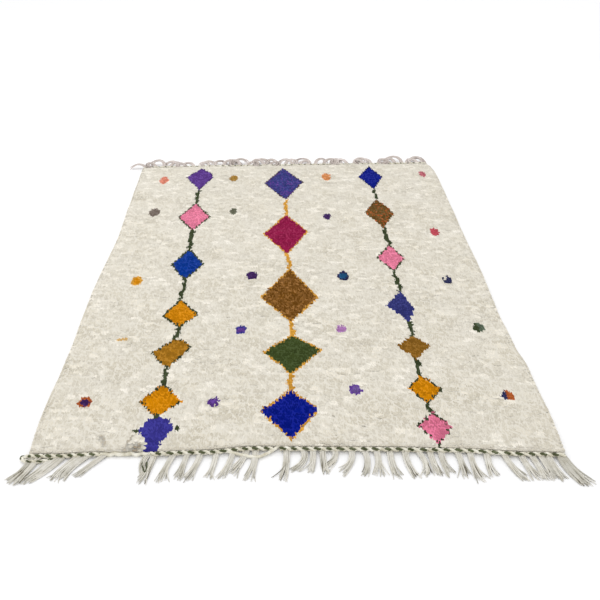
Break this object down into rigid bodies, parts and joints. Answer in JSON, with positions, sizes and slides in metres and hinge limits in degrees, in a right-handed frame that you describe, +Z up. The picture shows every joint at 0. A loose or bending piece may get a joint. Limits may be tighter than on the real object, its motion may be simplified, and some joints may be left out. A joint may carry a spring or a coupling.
{
  "type": "azilal rug",
  "caption": "Hand-knotted shaggy wool rug lying flat, with twined end cords and a warp-tassel fringe at both ends.",
  "frame": {"origin": "on the floor under the middle of the whole rug, fringes included", "axes": "+X across the rug's width, +Y along its length from the near end with the cord in two lengths to the far end, +Z up from the floor"},
  "size_m": [1.579, 2.2216, 0.029],
  "materials": {
    "pile_wool": "matte shaggy wool pile, undyed cream with dyed lozenges",
    "heading_cord": "matte twined yarn, cream and dark olive",
    "warp_cotton": "matte off-white cotton yarn"
  },
  "bodies": {
    "root": {"pile_field": "pile_wool", "heading_near_left": "heading_cord", "heading_near_right": "heading_cord", "heading_far": "heading_cord", "fringe_near": "warp_cotton", "fringe_far": "warp_cotton"}
  },
  "joints": []
}
